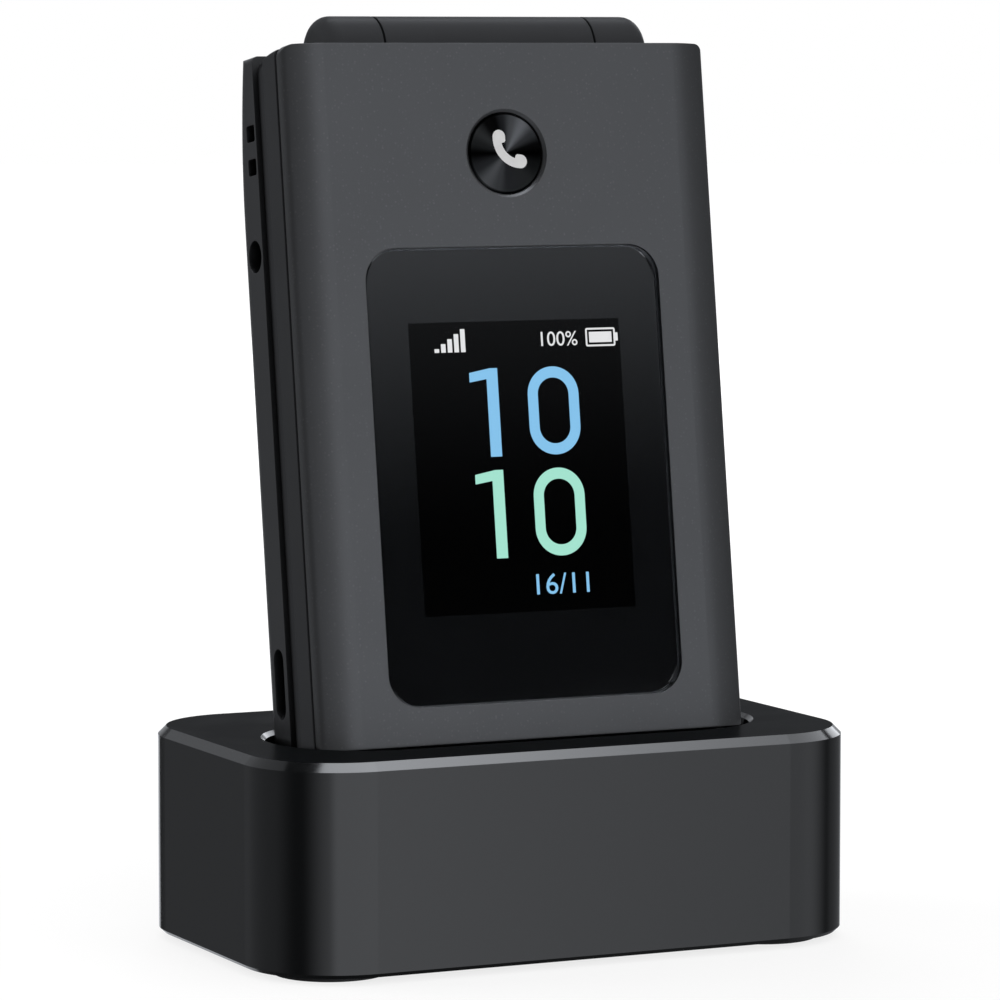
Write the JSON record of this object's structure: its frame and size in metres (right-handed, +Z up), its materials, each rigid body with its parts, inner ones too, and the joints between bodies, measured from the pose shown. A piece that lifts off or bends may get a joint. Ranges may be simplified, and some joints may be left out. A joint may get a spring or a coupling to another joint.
{
  "type": "flip phone",
  "caption": "Clamshell phone with a small outer display and a round call button, standing closed in a desktop charging cradle it lifts out of.",
  "frame": {"origin": "centre of the cradle's footprint, on the surface that its feet stand on", "axes": "+Z up, -Y out of the front of the cradle and of the lid, +X to the right seen from the front"},
  "size_m": [0.0776, 0.0486, 0.1117],
  "materials": {
    "lid_paint": "dark grey metallic lacquer with fine flakes",
    "dark_plastic": "satin moulded plastic",
    "clear_glass": "polished, lightly tinted",
    "display_black": "black display module",
    "button_metal": "black anodised, spun",
    "key_plastic": "satin key caps",
    "mat_rubber": "dull silicone",
    "circuit_board": "green solder mask",
    "cell_foil": "dark foil wrap",
    "component_black": "dull black",
    "steel": "bright machined",
    "contact_gold": "gold plated",
    "cradle_plastic": "fine satin moulded plastic",
    "foot_rubber": "dull"
  },
  "bodies": {
    "cradle": {"cradle_shell": "cradle_plastic", "cradle_base_plate": "cradle_plastic", "cradle_feet": "foot_rubber", "cradle_screws": "steel", "cradle_board": "circuit_board", "cradle_weights": "steel", "spring_contacts": "contact_gold", "usb_inlet": "steel"},
    "phone": {"rear_housing": "dark_plastic", "keypad_frame": "dark_plastic", "keypad_mat": "mat_rubber", "main_board": "circuit_board", "battery": "cell_foil", "battery_cover": "dark_plastic", "sim_holder": "component_black", "headset_jack": "steel", "usb_socket": "steel", "camera_module": "component_black", "camera_window": "clear_glass", "loudspeaker": "component_black", "vibration_motor": "steel", "charging_contacts": "contact_gold", "hinge_capsule": "steel", "hinge_bush": "steel", "display_flex": "circuit_board", "microphone": "component_black", "housing_screws": "steel"},
    "lid": {"lid_cover": "lid_paint", "cover_glass": "clear_glass", "outer_display": "display_black", "lid_frame": "dark_plastic", "lid_board": "circuit_board", "inner_display": "display_black", "inner_window": "clear_glass", "earpiece": "component_black", "lid_magnet": "steel", "lid_bumpers": "mat_rubber", "hinge_shaft": "steel"},
    "quick_call_button": {"quick_call_button": "button_metal"},
    "key_0": {"key_0": "key_plastic"},
    "key_1": {"key_1": "key_plastic"},
    "key_2": {"key_2": "key_plastic"},
    "key_3": {"key_3": "key_plastic"},
    "key_4": {"key_4": "key_plastic"},
    "key_5": {"key_5": "key_plastic"},
    "key_6": {"key_6": "key_plastic"},
    "key_7": {"key_7": "key_plastic"},
    "key_8": {"key_8": "key_plastic"},
    "key_9": {"key_9": "key_plastic"},
    "key_star": {"key_star": "key_plastic"},
    "key_hash": {"key_hash": "key_plastic"},
    "key_call": {"key_call": "key_plastic"},
    "key_end": {"key_end": "key_plastic"},
    "key_soft_left": {"key_soft_left": "key_plastic"},
    "key_soft_right": {"key_soft_right": "key_plastic"},
    "key_ok": {"key_ok": "key_plastic"},
    "navigation_ring": {"navigation_ring": "key_plastic"},
    "volume_rocker": {"volume_rocker": "dark_plastic"}
  },
  "joints": [
    {"name": "phone_lift", "type": "slide", "parent": "cradle", "child": "phone", "axis": [0, 0.1378, 0.9905], "range_m": [0, 0.03]},
    {"name": "lid_hinge", "type": "hinge", "parent": "phone", "child": "lid", "pos_m": [0, 0.00673, 0.10705], "axis": [-1, 0, 0], "range_deg": [0, 155]},
    {"name": "quick_call_press", "type": "slide", "parent": "lid", "child": "quick_call_button", "axis": [0, 0.9905, -0.1378], "range_m": [0, 0.00035], "stiffness_N_per_m": 2000},
    {"name": "key_0_press", "type": "slide", "parent": "phone", "child": "key_0", "axis": [0, 0.9905, -0.1378], "range_m": [0, 0.0004], "stiffness_N_per_m": 2000},
    {"name": "key_1_press", "type": "slide", "parent": "phone", "child": "key_1", "axis": [0, 0.9905, -0.1378], "range_m": [0, 0.0004], "stiffness_N_per_m": 2000},
    {"name": "key_2_press", "type": "slide", "parent": "phone", "child": "key_2", "axis": [0, 0.9905, -0.1378], "range_m": [0, 0.0004], "stiffness_N_per_m": 2000},
    {"name": "key_3_press", "type": "slide", "parent": "phone", "child": "key_3", "axis": [0, 0.9905, -0.1378], "range_m": [0, 0.0004], "stiffness_N_per_m": 2000},
    {"name": "key_4_press", "type": "slide", "parent": "phone", "child": "key_4", "axis": [0, 0.9905, -0.1378], "range_m": [0, 0.0004], "stiffness_N_per_m": 2000},
    {"name": "key_5_press", "type": "slide", "parent": "phone", "child": "key_5", "axis": [0, 0.9905, -0.1378], "range_m": [0, 0.0004], "stiffness_N_per_m": 2000},
    {"name": "key_6_press", "type": "slide", "parent": "phone", "child": "key_6", "axis": [0, 0.9905, -0.1378], "range_m": [0, 0.0004], "stiffness_N_per_m": 2000},
    {"name": "key_7_press", "type": "slide", "parent": "phone", "child": "key_7", "axis": [0, 0.9905, -0.1378], "range_m": [0, 0.0004], "stiffness_N_per_m": 2000},
    {"name": "key_8_press", "type": "slide", "parent": "phone", "child": "key_8", "axis": [0, 0.9905, -0.1378], "range_m": [0, 0.0004], "stiffness_N_per_m": 2000},
    {"name": "key_9_press", "type": "slide", "parent": "phone", "child": "key_9", "axis": [0, 0.9905, -0.1378], "range_m": [0, 0.0004], "stiffness_N_per_m": 2000},
    {"name": "key_star_press", "type": "slide", "parent": "phone", "child": "key_star", "axis": [0, 0.9905, -0.1378], "range_m": [0, 0.0004], "stiffness_N_per_m": 2000},
    {"name": "key_hash_press", "type": "slide", "parent": "phone", "child": "key_hash", "axis": [0, 0.9905, -0.1378], "range_m": [0, 0.0004], "stiffness_N_per_m": 2000},
    {"name": "key_call_press", "type": "slide", "parent": "phone", "child": "key_call", "axis": [0, 0.9905, -0.1378], "range_m": [0, 0.0004], "stiffness_N_per_m": 2000},
    {"name": "key_end_press", "type": "slide", "parent": "phone", "child": "key_end", "axis": [0, 0.9905, -0.1378], "range_m": [0, 0.0004], "stiffness_N_per_m": 2000},
    {"name": "key_soft_left_press", "type": "slide", "parent": "phone", "child": "key_soft_left", "axis": [0, 0.9905, -0.1378], "range_m": [0, 0.0004], "stiffness_N_per_m": 2000},
    {"name": "key_soft_right_press", "type": "slide", "parent": "phone", "child": "key_soft_right", "axis": [0, 0.9905, -0.1378], "range_m": [0, 0.0004], "stiffness_N_per_m": 2000},
    {"name": "key_ok_press", "type": "slide", "parent": "phone", "child": "key_ok", "axis": [0, 0.9905, -0.1378], "range_m": [0, 0.0004], "stiffness_N_per_m": 2000},
    {"name": "navigation_ring_press", "type": "slide", "parent": "phone", "child": "navigation_ring", "axis": [0, 0.9905, -0.1378], "range_m": [0, 0.0004], "stiffness_N_per_m": 2000},
    {"name": "volume_rock", "type": "hinge", "parent": "phone", "child": "volume_rocker", "pos_m": [0.02755, 0.00819, 0.07727], "axis": [0, -0.9905, 0.1378], "range_deg": [-1.8, 1.8], "stiffness_Nm_per_rad": 0.15}
  ]
}
